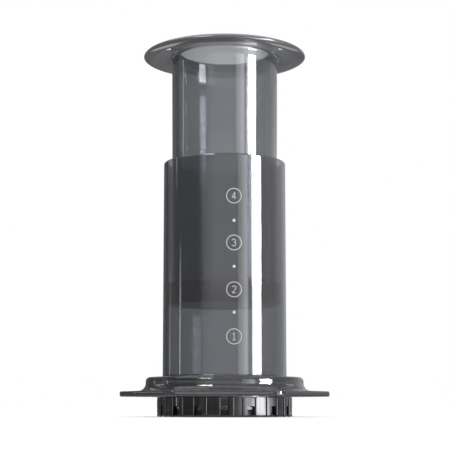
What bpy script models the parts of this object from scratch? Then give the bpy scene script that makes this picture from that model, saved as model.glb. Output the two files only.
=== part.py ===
"""Piston coffee press: a chamber on a hexagonal flange, a plunger with a seal and a twist-on filter cap.

Metres, +Z up. The origin is the centre of the cap's underside, which the press stands on.
Every piece is round about Z, so its own origin lies on that axis. Angles are counted from +X.
"""

import math

import bmesh
import bpy

MM = 0.001
DEGREE = math.radians(1)

# Clearances between pieces
SEAT_GAP = 0.3 * MM
SEAL_CLEARANCE = 0.3 * MM
CUT_OVERRUN = 2.0 * MM
JOIN_OVERLAP = 0.4 * MM

# Chamber
TUBE_RADIUS = 32.2 * MM
TUBE_WALL = 2.0 * MM
TUBE_DRAFT = 0.08 * MM
CHAMBER_HEIGHT = 122.7 * MM
RIM_OUTER_EDGE = 0.9 * MM
RIM_INNER_EDGE = 0.5 * MM
SPIGOT_WALL = 1.6 * MM
SPIGOT_EDGE = 0.3 * MM

# Hexagonal flange and the boss over it
BOSS_WIDTH = 8.75 * MM
BOSS_HEIGHT = 9.9 * MM
BOSS_CROWN = 0.3 * MM
BOSS_EDGE = 1.5 * MM
BOSS_WALL = 2.2 * MM
BOSS_FOOT_FILLET = 3.9 * MM
TUBE_FOOT_FILLET = 0.8 * MM
CHANNEL_FILLET = 1.0 * MM
HEXAGON_MARGIN = 7.1 * MM
HEXAGON_CORNER_RADIUS = 6.5 * MM
HEXAGON_THICKNESS = 2.8 * MM
HEXAGON_CROWN = 0.55 * MM
HEXAGON_EDGE = 0.8 * MM

# Plunger
PLUNGER_RAISED = 57.5 * MM
PLUNGER_HEIGHT = 136.2 * MM
PLUNGER_CLEARANCE = 3.05 * MM
PLUNGER_DRAFT = 1.05 * MM
PLUNGER_WALL = 3.5 * MM
PLUNGER_FLOOR = 3.0 * MM
PLUNGER_FLOOR_FILLET = 2.0 * MM
OPENING_EDGE = 0.8 * MM
HAND_FLANGE_WIDTH = 15.0 * MM
HAND_FLANGE_CROWN = 3.0 * MM
HAND_FLANGE_CROWN_WIDTH = 9.2 * MM
HAND_FLANGE_LIP_DROP = 1.5 * MM
HAND_FLANGE_LIP_WIDTH = 4.9 * MM
HAND_FLANGE_ROOT_RISE = 1.2 * MM
HAND_FLANGE_FILLET = 1.5 * MM
HEAD_HEIGHT = 2.8 * MM
HEAD_EDGE = 0.6 * MM
NECK_DEPTH = 1.4 * MM

# Seal
SEAL_HEIGHT = 11.0 * MM
SEAL_FLOOR = 2.2 * MM
SEAL_RIDGE_HEIGHT = 2.6 * MM
SEAL_RIDGE_DEPTH = 0.7 * MM
SEAL_NOSE = 1.1 * MM
SEAL_TOP_EDGE = 0.5 * MM

# Filter cap
CAP_HEIGHT = 10.0 * MM
CAP_WALL = 1.0 * MM
CAP_FLOOR = 1.8 * MM
CAP_EDGE = 0.4 * MM
CAP_FLOOR_FILLET = 0.5 * MM
RIB_HEIGHT = 0.7 * MM
RIB_COUNT = 32
RIB_WIDTH_SHARE = 0.41
RIB_FLANK_SHARE = 0.03
WINDOW_COUNT = 16
WINDOW_BOTTOM = 0.9 * MM
WINDOW_HEIGHT = 4.56 * MM
WINDOW_GROOVE_SHARE = 0.98
HOLE_RADIUS = 1.0 * MM
HOLE_PITCH = 5.2 * MM
HOLE_RINGS = 5
HOLES_PER_RING_STEP = 6

# Bayonet lugs, one pair at each window
LUG_OVERLAP = 0.9 * MM
LUG_WIDTH = 3.3 * MM
LEDGE_HEIGHT = 1.6 * MM
CHAMBER_LUG_HEIGHT = 1.3 * MM
CHAMBER_LUG_LEAD = 0.4 * MM
STOP_WIDTH = 0.9 * MM
STOP_FLANK = 0.2 * MM

# Paper filter
PAPER_MARGIN = 1.55 * MM
PAPER_THICKNESS = 0.25 * MM

# Materials: colour, roughness and how solid they look
SMOKY_PLASTIC = ((0.20, 0.205, 0.22), 0.08, 0.5)
SMOKY_RUBBER = ((0.10, 0.105, 0.11), 0.4, 0.7)
BLACK_PLASTIC = ((0.012, 0.012, 0.014), 0.22, 1.0)
WHITE_PAPER = ((0.85, 0.83, 0.78), 0.9, 1.0)

# How finely round shapes are cut
CHAMBER_SECTOR_STEPS = 11
HEXAGON_CROWDING = 5.5 * DEGREE
PLUNGER_STEPS = 48
CAP_HOLLOW_STEPS = 64
HOLE_STEPS = 8
PAPER_STEPS = 48
EDGE_STEPS = 2
RIM_STEPS = 3
FILLET_STEPS = 4
CROWN_STEPS = 5
SMOOTH_UNDER = 35 * DEGREE
MERGE_DISTANCE = 0.01 * MM

# Radii, from the tube inward to the plunger and outward to the cap
BORE_RADIUS = TUBE_RADIUS - TUBE_WALL
SEAL_RADIUS = BORE_RADIUS - SEAL_CLEARANCE
PLUNGER_FOOT_RADIUS = BORE_RADIUS - PLUNGER_CLEARANCE
PLUNGER_TOP_RADIUS = PLUNGER_FOOT_RADIUS + PLUNGER_DRAFT
HAND_FLANGE_RADIUS = PLUNGER_TOP_RADIUS + HAND_FLANGE_WIDTH
SPIGOT_RADIUS = BORE_RADIUS + SPIGOT_WALL
LEDGE_RADIUS = SPIGOT_RADIUS + SEAT_GAP
CHAMBER_LUG_RADIUS = LEDGE_RADIUS + LUG_OVERLAP
CAP_INNER_RADIUS = CHAMBER_LUG_RADIUS + SEAT_GAP
CAP_GROOVE_RADIUS = CAP_INNER_RADIUS + CAP_WALL
CAP_RADIUS = CAP_GROOVE_RADIUS + RIB_HEIGHT
PAPER_RADIUS = CAP_INNER_RADIUS - PAPER_MARGIN
BOSS_RADIUS = TUBE_RADIUS + BOSS_WIDTH
HEXAGON_FLAT_RADIUS = BOSS_RADIUS + HEXAGON_MARGIN

# Heights above the face that the press stands on
FLANGE_BOTTOM = CAP_HEIGHT + SEAT_GAP
PAPER_BOTTOM = CAP_FLOOR + SEAT_GAP
SPIGOT_BOTTOM = PAPER_BOTTOM + PAPER_THICKNESS + SEAT_GAP
WINDOW_TOP = WINDOW_BOTTOM + WINDOW_HEIGHT
CHAMBER_LUG_TOP = WINDOW_TOP - SEAT_GAP


def remove_all_objects():
    for old in list(bpy.data.objects):
        bpy.data.objects.remove(old, do_unlink=True)


def made_of(name, color, roughness, alpha):
    """A Principled material with the piece's colour."""
    material = bpy.data.materials.new(name)
    material.use_nodes = True
    shader = material.node_tree.nodes["Principled BSDF"]
    shader.inputs["Base Color"].default_value = (*color, 1.0)
    shader.inputs["Roughness"].default_value = roughness
    shader.inputs["Metallic"].default_value = 0.0
    shader.inputs["Alpha"].default_value = alpha
    material.diffuse_color = (*color, alpha)
    return material


def new_object(name, bm, material=None):
    """An object from a bmesh, faces outward, smooth but for its sharp edges."""
    bmesh.ops.recalc_face_normals(bm, faces=bm.faces)
    mesh = bpy.data.meshes.new(name)
    bm.to_mesh(mesh)
    bm.free()
    mesh.shade_smooth()
    mesh.set_sharp_from_angle(angle=SMOOTH_UNDER)
    piece = bpy.data.objects.new(name, mesh)
    if material:
        mesh.materials.append(material)
    bpy.context.scene.collection.objects.link(piece)
    return piece


def guide(name, bm):
    """An object that only shapes another one."""
    piece = new_object(name, bm)
    piece.hide_render = True
    piece.display_type = "WIRE"
    return piece


def shape_with(piece, operation, other):
    modifier = piece.modifiers.new(other.name, "BOOLEAN")
    modifier.operation = operation
    modifier.solver = "EXACT"
    modifier.object = other
    other.parent = piece


def arc(radius, height, size, start, end, steps=EDGE_STEPS, rise=None):
    """Points (radius, height) of an arc in a turned outline; rise makes it an ellipse of that half height."""
    rise = size if rise is None else rise
    angles = [(start + (end - start) * i / steps) * DEGREE for i in range(steps + 1)]
    return [(radius + size * math.cos(angle), height + rise * math.sin(angle)) for angle in angles]


def polar(radius, angle, height):
    return (radius * math.cos(angle), radius * math.sin(angle), height)


def turned(outline, steps, closed=True):
    """A bmesh of an outline of (radius, height) points spun about Z; an open one ends on the axis."""
    bm = bmesh.new()
    points = [bm.verts.new((radius, 0, height)) for radius, height in outline]
    pairs = list(zip(points, points[1:]))
    if closed:
        pairs.append((points[-1], points[0]))
    edges = [bm.edges.new(pair) for pair in pairs]
    bmesh.ops.spin(
        bm, geom=points + edges, cent=(0, 0, 0), axis=(0, 0, 1), angle=math.tau, steps=steps, use_merge=True
    )
    on_axis = [v for v in bm.verts if math.hypot(v.co.x, v.co.y) < MERGE_DISTANCE]
    bmesh.ops.remove_doubles(bm, verts=on_axis, dist=MERGE_DISTANCE)
    return bm


def skinned(rings):
    """A bmesh whose skin joins each ring of points to the next, and the last to the first."""
    bm = bmesh.new()
    loops = [[bm.verts.new(point) for point in ring] for ring in rings]
    for loop, following in zip(loops, loops[1:] + loops[:1]):
        for i, corner in enumerate(loop):
            bm.faces.new((loop[i - 1], corner, following[i], following[i - 1]))
    return bm


def stacked(rings):
    """A bmesh whose skin joins each ring of points to the next, with both ends filled."""
    bm = bmesh.new()
    loops = [[bm.verts.new(point) for point in ring] for ring in rings]
    for loop, following in zip(loops, loops[1:]):
        for i, corner in enumerate(loop):
            bm.faces.new((loop[i - 1], corner, following[i], following[i - 1]))
    bm.faces.new(loops[0])
    bm.faces.new(loops[-1])
    return bm


def add_sector(bm, radii, bottoms, tops, angles):
    """Add a curved block between two radii, with its lower and upper height at each angle."""
    inner, outer = radii
    rows = []
    for angle, bottom, top in zip(angles, bottoms, tops):
        corners = ((inner, bottom), (outer, bottom), (outer, top), (inner, top))
        rows.append([bm.verts.new(polar(radius, angle, height)) for radius, height in corners])
    for row, following in zip(rows, rows[1:]):
        for i in range(4):
            bm.faces.new((row[i - 1], row[i], following[i], following[i - 1]))
    bm.faces.new(rows[0])
    bm.faces.new(rows[-1])


# Filter cap
def cap_ring(inset, height):
    """The cap's ribbed outline, drawn in by inset: a groove on each whole pitch and a rib between grooves."""
    pitch = math.tau / RIB_COUNT
    groove_half = pitch * (1 - RIB_WIDTH_SHARE) / 2
    flank = pitch * RIB_FLANK_SHARE
    ring = []
    for i in range(RIB_COUNT):
        for offset, radius in (
            (-groove_half, CAP_GROOVE_RADIUS),
            (groove_half, CAP_GROOVE_RADIUS),
            (groove_half + flank, CAP_RADIUS),
            (pitch / 2, CAP_RADIUS),
            (pitch - groove_half - flank, CAP_RADIUS),
        ):
            ring.append(polar(radius - inset, i * pitch + offset, height))
    return ring


def cap_hollow():
    """The space inside the cap, over its floor."""
    fillet = CAP_FLOOR_FILLET
    outline = [(0, CAP_FLOOR)]
    outline += arc(CAP_INNER_RADIUS - fillet, CAP_FLOOR + fillet, fillet, -90, 0)
    outline += [(CAP_INNER_RADIUS, CAP_HEIGHT + CUT_OVERRUN), (0, CAP_HEIGHT + CUT_OVERRUN)]
    return guide("cap_hollow", turned(outline, CAP_HOLLOW_STEPS, closed=False))


def cap_lugs():
    """A ledge inside the cap over each window, with a stop at the end that it turns towards to lock."""
    bm = bmesh.new()
    half = LUG_WIDTH / CAP_INNER_RADIUS / 2
    stop_start = half + SEAT_GAP / CAP_INNER_RADIUS
    stop_foot = stop_start + STOP_FLANK / CAP_INNER_RADIUS
    stop_end = stop_start + STOP_WIDTH / CAP_INNER_RADIUS
    radii = (LEDGE_RADIUS, CAP_INNER_RADIUS + JOIN_OVERLAP)
    stop_bottom = CHAMBER_LUG_TOP - CHAMBER_LUG_HEIGHT
    bottoms = (stop_bottom, stop_bottom, WINDOW_TOP, WINDOW_TOP)
    tops = [WINDOW_TOP + LEDGE_HEIGHT] * len(bottoms)
    for i in range(WINDOW_COUNT):
        middle = i * math.tau / WINDOW_COUNT
        angles = (middle - stop_end, middle - stop_foot, middle - stop_start, middle + half)
        add_sector(bm, radii, bottoms, tops, angles)
    return guide("cap_lugs", bm)


def cap_windows():
    """An opening in the wall under each ledge, in every second groove."""
    bm = bmesh.new()
    half = math.tau / RIB_COUNT * (1 - RIB_WIDTH_SHARE) / 2 * WINDOW_GROOVE_SHARE
    radii = (CAP_INNER_RADIUS - JOIN_OVERLAP / 2, CAP_RADIUS + CUT_OVERRUN)
    for i in range(WINDOW_COUNT):
        middle = i * math.tau / WINDOW_COUNT
        add_sector(bm, radii, [WINDOW_BOTTOM] * 2, [WINDOW_TOP] * 2, (middle - half, middle + half))
    return guide("cap_windows", bm)


def hole_circle(bm, x, y, height):
    corners = [polar(HOLE_RADIUS, i * math.tau / HOLE_STEPS, height) for i in range(HOLE_STEPS)]
    return [bm.verts.new((x + dx, y + dy, z)) for dx, dy, z in corners]


def cap_holes():
    """Drilled holes on rings one pitch apart, six more holes on each ring than on the one inside it."""
    places = [(0, 0)]
    for ring in range(1, HOLE_RINGS + 1):
        count = ring * HOLES_PER_RING_STEP
        for i in range(count):
            x, y, _ = polar(ring * HOLE_PITCH, i * math.tau / count, 0)
            places.append((x, y))
    bm = bmesh.new()
    for x, y in places:
        lower = hole_circle(bm, x, y, -CUT_OVERRUN)
        upper = hole_circle(bm, x, y, CAP_FLOOR + CUT_OVERRUN)
        for i in range(HOLE_STEPS):
            bm.faces.new((lower[i - 1], lower[i], upper[i], upper[i - 1]))
        bm.faces.new(lower)
        bm.faces.new(upper)
    return guide("cap_holes", bm)


def make_filter_cap():
    rings = [
        cap_ring(CAP_EDGE, 0),
        cap_ring(0, CAP_EDGE),
        cap_ring(0, CAP_HEIGHT),
    ]
    cap = new_object("filter_cap", stacked(rings), made_of("cap_plastic", *BLACK_PLASTIC))
    shape_with(cap, "DIFFERENCE", cap_hollow())
    shape_with(cap, "UNION", cap_lugs())
    shape_with(cap, "DIFFERENCE", cap_windows())
    shape_with(cap, "DIFFERENCE", cap_holes())
    return cap


# Paper filter
def make_paper_filter(cap):
    outline = [(0, 0), (PAPER_RADIUS, 0), (PAPER_RADIUS, PAPER_THICKNESS), (0, PAPER_THICKNESS)]
    disc = turned(outline, PAPER_STEPS, closed=False)
    paper = new_object("paper_filter", disc, made_of("paper", *WHITE_PAPER))
    paper.location.z = PAPER_BOTTOM
    paper.parent = cap
    return paper


# Chamber, measured up from the underside of its hexagonal flange
def chamber_angles():
    """Angles round the chamber, crowded towards the hexagon's corners."""
    sector = math.tau / 6
    angles = []
    for corner in range(6):
        for i in range(CHAMBER_SECTOR_STEPS):
            share = i / CHAMBER_SECTOR_STEPS
            angles.append(corner * sector + share * sector - HEXAGON_CROWDING * math.sin(share * math.tau))
    return angles


def hexagon_radius(angle, inset):
    """Distance from the axis to the hexagon with rounded corners, drawn in by inset, at an angle."""
    sector = math.tau / 6
    from_corner = (angle + sector / 2) % sector - sector / 2
    rounding = HEXAGON_CORNER_RADIUS - inset
    centre = (HEXAGON_FLAT_RADIUS - HEXAGON_CORNER_RADIUS) / math.cos(sector / 2)
    tangent = math.atan2(rounding * math.sin(sector / 2), centre + rounding * math.cos(sector / 2))
    if abs(from_corner) < tangent:
        across = centre * math.sin(from_corner)
        return centre * math.cos(from_corner) + math.sqrt(rounding ** 2 - across ** 2)
    return (HEXAGON_FLAT_RADIUS - inset) / math.cos(sector / 2 - abs(from_corner))


def round_ring(radius, height):
    return [polar(radius, angle, height) for angle in chamber_angles()]


def hexagon_ring(inset, height):
    return [polar(hexagon_radius(angle, inset), angle, height) for angle in chamber_angles()]


def chamber_tube():
    """The rim, the tube's outside, the boss and the fillet at its foot, top to bottom."""
    plate_top = HEXAGON_THICKNESS + HEXAGON_CROWN
    foot = min(BOSS_FOOT_FILLET, BOSS_HEIGHT - BOSS_EDGE - plate_top, HEXAGON_MARGIN - HEXAGON_EDGE)
    rim_middle = TUBE_RADIUS - TUBE_DRAFT - RIM_OUTER_EDGE
    outline = arc(rim_middle, CHAMBER_HEIGHT - RIM_OUTER_EDGE, RIM_OUTER_EDGE, 90, 0, RIM_STEPS)
    tube_foot = BOSS_HEIGHT + BOSS_CROWN + TUBE_FOOT_FILLET
    outline += arc(TUBE_RADIUS + TUBE_FOOT_FILLET, tube_foot, TUBE_FOOT_FILLET, 180, 270)
    outline += arc(BOSS_RADIUS - BOSS_EDGE, BOSS_HEIGHT - BOSS_EDGE, BOSS_EDGE, 90, 0, RIM_STEPS)
    outline += arc(BOSS_RADIUS + foot, plate_top + foot, foot, 180, 270, FILLET_STEPS)
    return outline


def flange_edge():
    """Insets and heights of the hexagon's rounded edge, top to bottom."""
    upper = arc(0, HEXAGON_THICKNESS - HEXAGON_EDGE, HEXAGON_EDGE, 90, 0)
    lower = arc(0, HEXAGON_EDGE, HEXAGON_EDGE, 0, -90)
    return [(HEXAGON_EDGE - reach, height) for reach, height in upper + lower]


def chamber_underside():
    """The channel under the boss, the spigot and the bore, from the flange's underside to the rim."""
    channel_outer = BOSS_RADIUS - BOSS_WALL
    roof = BOSS_HEIGHT - BOSS_WALL
    corner = CHANNEL_FILLET
    spigot_bottom = SPIGOT_BOTTOM - FLANGE_BOTTOM
    outline = [(channel_outer, 0)]
    outline += arc(channel_outer - corner, roof - corner, corner, 0, 90, 1)
    outline += arc(SPIGOT_RADIUS + corner, roof - corner, corner, 90, 180, 1)
    outline += arc(SPIGOT_RADIUS - SPIGOT_EDGE, spigot_bottom + SPIGOT_EDGE, SPIGOT_EDGE, 0, -90, 1)
    outline += [(BORE_RADIUS, spigot_bottom)]
    outline += arc(BORE_RADIUS + RIM_INNER_EDGE, CHAMBER_HEIGHT - RIM_INNER_EDGE, RIM_INNER_EDGE, 180, 90)
    return outline


def chamber_lugs():
    """Lugs round the spigot that the cap's ledges pass over, each with a sloped leading end."""
    bm = bmesh.new()
    half = LUG_WIDTH / CAP_INNER_RADIUS / 2
    lead = half / 2
    top = CHAMBER_LUG_TOP - FLANGE_BOTTOM
    bottom = top - CHAMBER_LUG_HEIGHT
    radii = (SPIGOT_RADIUS - JOIN_OVERLAP, CHAMBER_LUG_RADIUS)
    for i in range(WINDOW_COUNT):
        middle = i * math.tau / WINDOW_COUNT
        angles = (middle - half, middle + half - lead, middle + half)
        tops = (top, top, top - CHAMBER_LUG_LEAD)
        add_sector(bm, radii, [bottom] * len(tops), tops, angles)
    return guide("chamber_lugs", bm)


def make_chamber():
    rings = [round_ring(radius, height) for radius, height in chamber_tube()]
    rings += [hexagon_ring(inset, height) for inset, height in flange_edge()]
    rings += [round_ring(radius, height) for radius, height in chamber_underside()]
    chamber = new_object("chamber", skinned(rings), made_of("chamber_plastic", *SMOKY_PLASTIC))
    shape_with(chamber, "UNION", chamber_lugs())
    chamber.location.z = FLANGE_BOTTOM
    return chamber


# Plunger, measured up from the seal's underside
def plunger_radius(height):
    """Outer radius of the plunger's tube, which narrows towards its foot."""
    share = height / PLUNGER_HEIGHT
    return PLUNGER_FOOT_RADIUS + (PLUNGER_TOP_RADIUS - PLUNGER_FOOT_RADIUS) * share


def plunger_flange():
    """The hand flange from its opening outward over the rim and back to the tube."""
    top = PLUNGER_HEIGHT
    mouth = plunger_radius(top) - PLUNGER_WALL + OPENING_EDGE
    crown = HAND_FLANGE_RADIUS - HAND_FLANGE_CROWN_WIDTH
    lip = HAND_FLANGE_RADIUS - HAND_FLANGE_LIP_WIDTH
    rim_height = top - HAND_FLANGE_CROWN
    root_height = rim_height - HAND_FLANGE_LIP_DROP + HAND_FLANGE_ROOT_RISE
    fillet = HAND_FLANGE_FILLET
    root = plunger_radius(root_height) + fillet
    outline = arc(mouth, top - OPENING_EDGE, OPENING_EDGE, 180, 90)
    outline += arc(crown, rim_height, HAND_FLANGE_CROWN_WIDTH, 90, 0, CROWN_STEPS, HAND_FLANGE_CROWN)
    outline += arc(lip, rim_height, HAND_FLANGE_LIP_WIDTH, 0, -90, RIM_STEPS, HAND_FLANGE_LIP_DROP)[1:]
    outline += arc(root, root_height - fillet, fillet, 90, 180)
    return outline


def plunger_foot():
    """The shoulder over the seal, the neck, the head that holds the seal, and the end's underside."""
    shoulder = SEAL_HEIGHT + SEAT_GAP
    head_bottom = SEAL_FLOOR + SEAT_GAP
    head_top = head_bottom + HEAD_HEIGHT
    neck = PLUNGER_FOOT_RADIUS - NECK_DEPTH
    head = PLUNGER_FOOT_RADIUS - HEAD_EDGE
    outline = [(plunger_radius(shoulder), shoulder), (neck, shoulder), (neck, head_top + HEAD_EDGE)]
    outline += [(head, head_top)]
    outline += arc(head - HEAD_EDGE, head_bottom + HEAD_EDGE, HEAD_EDGE, 0, -90)
    return outline + [(0, head_bottom)]


def plunger_bore():
    """The floor inside the closed end and the curve up to the wall."""
    floor = SEAL_FLOOR + SEAT_GAP + PLUNGER_FLOOR
    wall = PLUNGER_FOOT_RADIUS - PLUNGER_WALL
    fillet = PLUNGER_FLOOR_FILLET
    return [(0, floor)] + arc(wall - fillet, floor + fillet, fillet, -90, 0, RIM_STEPS)


def make_plunger():
    outline = plunger_bore() + plunger_flange() + plunger_foot()
    body = turned(outline, PLUNGER_STEPS, closed=False)
    plunger = new_object("plunger", body, made_of("plunger_plastic", *SMOKY_PLASTIC))
    plunger.location.z = PLUNGER_RAISED
    return plunger


# Seal
def make_seal(plunger):
    """A cup that snaps over the plunger's head: two ridges slide in the bore, with a waist between them."""
    head_top = SEAL_FLOOR + SEAT_GAP + HEAD_HEIGHT
    head = PLUNGER_FOOT_RADIUS - HEAD_EDGE + SEAT_GAP
    neck = PLUNGER_FOOT_RADIUS - NECK_DEPTH + SEAT_GAP
    waist = SEAL_RADIUS - SEAL_RIDGE_DEPTH
    lower = SEAL_NOSE + SEAL_RIDGE_HEIGHT
    upper = SEAL_HEIGHT - SEAL_RIDGE_HEIGHT
    outline = [(0, 0)]
    outline += arc(SEAL_RADIUS - SEAL_NOSE, SEAL_NOSE, SEAL_NOSE, -90, 0)
    outline += [(SEAL_RADIUS, lower), (waist, lower + SEAL_RIDGE_DEPTH)]
    outline += [(waist, upper - SEAL_RIDGE_DEPTH), (SEAL_RADIUS, upper)]
    outline += arc(SEAL_RADIUS - SEAL_TOP_EDGE, SEAL_HEIGHT - SEAL_TOP_EDGE, SEAL_TOP_EDGE, 0, 90, 1)
    outline += [(neck, SEAL_HEIGHT), (neck, head_top + HEAD_EDGE + SEAT_GAP)]
    outline += [(head, head_top + SEAT_GAP), (head, SEAL_FLOOR + HEAD_EDGE)]
    outline += [(head - HEAD_EDGE, SEAL_FLOOR), (0, SEAL_FLOOR)]
    cup = turned(outline, PLUNGER_STEPS, closed=False)
    seal = new_object("seal", cup, made_of("seal_rubber", *SMOKY_RUBBER))
    seal.parent = plunger
    return seal


def build():
    remove_all_objects()
    make_chamber()
    make_seal(make_plunger())
    make_paper_filter(make_filter_cap())


build()
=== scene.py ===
# %% [markdown]
# # A smoky coffee press
#
# The press has two clear mouldings, a black one, a rubber seal and a paper round. The tube and the plunger
# are smoky clear plastic, so what shows is mostly what light does in their walls: it bends at each face, it
# fades on its way through the smoke, and a little of it comes back as a reflection. So the walls are real
# walls here, with an inner and an outer face and rounded edges, and the studio round the press has the
# shape of the reflections in the photograph.
#
# The CAD model is loaded first. It fixes every size and every joint, and the pieces made below fit into its
# box.

# %% Load the frame
import math

import bmesh
import bpy
import numpy as np
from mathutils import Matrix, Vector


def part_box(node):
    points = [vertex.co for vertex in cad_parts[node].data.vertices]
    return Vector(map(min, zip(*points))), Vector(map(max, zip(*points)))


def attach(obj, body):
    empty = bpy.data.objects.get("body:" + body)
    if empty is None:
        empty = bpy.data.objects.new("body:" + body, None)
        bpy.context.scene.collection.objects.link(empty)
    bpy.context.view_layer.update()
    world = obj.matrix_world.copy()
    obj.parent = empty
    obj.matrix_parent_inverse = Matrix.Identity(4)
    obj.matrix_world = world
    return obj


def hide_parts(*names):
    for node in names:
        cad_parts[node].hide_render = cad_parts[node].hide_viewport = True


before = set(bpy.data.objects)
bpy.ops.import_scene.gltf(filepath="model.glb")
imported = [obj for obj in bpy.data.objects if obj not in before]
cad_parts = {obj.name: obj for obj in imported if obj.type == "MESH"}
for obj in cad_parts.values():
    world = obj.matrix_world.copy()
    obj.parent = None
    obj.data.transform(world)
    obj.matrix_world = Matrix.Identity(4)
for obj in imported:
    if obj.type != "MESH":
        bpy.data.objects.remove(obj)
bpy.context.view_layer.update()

MM = 0.001

# %% [markdown]
# ## Outlines
#
# A moulded piece has no knife edges: its drawing gives corners, and a radius for each. So an outline is
# written here as a drawing is, one row for each corner with its distance from the axis, its height and its
# rounding, and one function turns the corners into arcs. A bevel modifier could round the finished mesh
# too, but it would also cut the large faces anew, and clear plastic shows every uneven face in its
# reflections.

# %% Round the corners of an outline
def unit(vectors):
    """Vectors divided by their own length; a vector without length stays as it is."""
    return vectors / np.maximum(np.linalg.norm(vectors, axis=1, keepdims=True), 1e-12)


def rounded(corners, steps=8):
    """The outline through rows of (radius, height, rounding, ...), with an arc in place of each corner.

    The arc touches both sides at rounding / tan(half the corner's angle) from the corner, and its middle lies
    on the line that halves the corner. Its points turn evenly from one touching point to the other.
    """
    corners = np.asarray(corners, float)
    place, size = corners[:, :2], corners[:, 2:3]
    back = unit(np.roll(place, 1, axis=0) - place)
    ahead = unit(np.roll(place, -1, axis=0) - place)
    half = np.arccos(np.clip((back * ahead).sum(1, keepdims=True), -1, 1)) / 2
    half = np.maximum(half, 1e-6)
    middle = place + unit(back + ahead) * size / np.sin(half)
    start = place + back * size / np.tan(half) - middle
    end = place + ahead * size / np.tan(half) - middle
    turn = np.pi - 2 * half
    share = np.linspace(0, 1, steps + 1)[None, :, None]
    weight = np.maximum(np.sin(turn), 1e-9)[:, None]
    arcs = np.sin((1 - share) * turn[:, None]) * start[:, None] + np.sin(share * turn[:, None]) * end[:, None]
    points = middle[:, None] + arcs / weight
    more = np.broadcast_to(corners[:, None, 3:], (*points.shape[:2], corners.shape[1] - 3))
    rows = np.concatenate([points, more], axis=2).reshape(-1, 2 + more.shape[2])
    moved = np.linalg.norm(rows[:, :2] - np.roll(rows[:, :2], 1, axis=0), axis=1) > 1e-9
    moved[0] = True
    return rows[moved]


# %% [markdown]
# Smooth shading averages the direction of the faces round a point. Where a long flat run meets a small arc,
# that average would bend the whole run's reflection, so each run gets a point close to both of its ends.
# Only the short stretch between them then turns.

# %% Hold the flat runs flat
def held(rows, closed, margin=0.15 * MM):
    """An outline with a point a margin inside both ends of each run that is longer than four margins."""
    ahead = np.roll(rows, -1, axis=0)
    length = np.linalg.norm((ahead - rows)[:, :2], axis=1)
    step = (ahead - rows) * (margin / np.maximum(length, 1e-12))[:, None]
    threes = np.stack([rows, rows + step, ahead - step], axis=1)
    long = length > 4 * margin
    if not closed:
        long[-1] = False
    return threes[np.stack([np.full(len(rows), True), long, long], axis=1)]


# %% [markdown]
# ## Surfaces
#
# Nearly every face of the press goes round its axis, so a surface is a grid: one parameter walks along the
# outline and the other round the axis. Spinning a profile with a Screw modifier gives the same tube, but
# not the hexagonal flange or the ribs, where the radius depends on both parameters.

# %% Grids of points and their faces
def around(radius, angle, height):
    """Points (radius cos angle, radius sin angle, height), for arrays that fit each other."""
    radius, angle, height = np.broadcast_arrays(radius, angle, height)
    return np.stack([radius * np.cos(angle), radius * np.sin(angle), height], axis=-1)


def numbered(points):
    """The number of each point of a grid, in a table of the grid's shape."""
    return np.arange(points[..., 0].size).reshape(points.shape[:-1])


def grid_faces(index, close_rows, close_columns):
    """Four-sided faces between neighbours in a table of point numbers, closed on itself where asked."""
    if close_rows:
        index = np.concatenate([index, index[:1]])
    if close_columns:
        index = np.concatenate([index, index[:, :1]], axis=1)
    quads = np.stack([index[:-1, :-1], index[:-1, 1:], index[1:, 1:], index[1:, :-1]], axis=-1)
    return quads.reshape(-1, 4)


# %% Put a piece in the scene
MERGE_WITHIN = 0.0001 * MM


def make_piece(name, points, faces, body, nodes=(), sharp_over=None):
    """A closed mesh of points and faces, doubles merged and faces outward, riding on a body of the frame."""
    mesh = bpy.data.meshes.new(name)
    mesh.from_pydata(np.reshape(points, (-1, 3)).tolist(), [], np.asarray(faces).tolist())
    shape = bmesh.new()
    shape.from_mesh(mesh)
    bmesh.ops.remove_doubles(shape, verts=shape.verts, dist=MERGE_WITHIN)
    bmesh.ops.recalc_face_normals(shape, faces=shape.faces)
    open_edges = sum(not edge.is_manifold for edge in shape.edges)
    shape.to_mesh(mesh)
    shape.free()
    mesh.shade_smooth()
    if sharp_over:
        mesh.set_sharp_from_angle(angle=math.radians(sharp_over))
    piece = bpy.data.objects.new(name, mesh)
    bpy.context.scene.collection.objects.link(piece)
    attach(piece, body)
    if nodes:
        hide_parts(*nodes)
    print(f"{name}: {len(mesh.polygons)} faces, {open_edges} open edges")
    return piece


# %% [markdown]
# ## The chamber
#
# The chamber is one clear moulding: a tube, a boss that leaves a channel under it, a flat hexagonal flange
# that rests on the mug, and a thin spigot that the cap slides over. It is drawn as a ring-shaped section. A
# fourth number on each corner says how far the section there follows the hexagon instead of a circle.

# %% Sizes of the chamber
TUBE_RADIUS = 32.2 * MM
TUBE_TOP_RADIUS = 32.12 * MM
BORE_RADIUS = 30.2 * MM
SPIGOT_RADIUS = 31.8 * MM
SPIGOT_BOTTOM = 2.65 * MM
FLANGE_BOTTOM = 10.3 * MM
FLANGE_TOP = 13.0 * MM
FLANGE_FLAT_RADIUS = 48.05 * MM
FLANGE_CORNER_ROUNDING = 6.5 * MM
BOSS_RADIUS = 40.95 * MM
BOSS_FOOT = 13.65 * MM
BOSS_TOP = 20.2 * MM
TUBE_FOOT = 20.5 * MM
CHANNEL_RADIUS = 38.75 * MM
CHANNEL_TOP = 18.0 * MM
CHAMBER_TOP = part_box("chamber")[1].z
print("the chamber ends", round(CHAMBER_TOP / MM, 1), "mm above the table")

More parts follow.
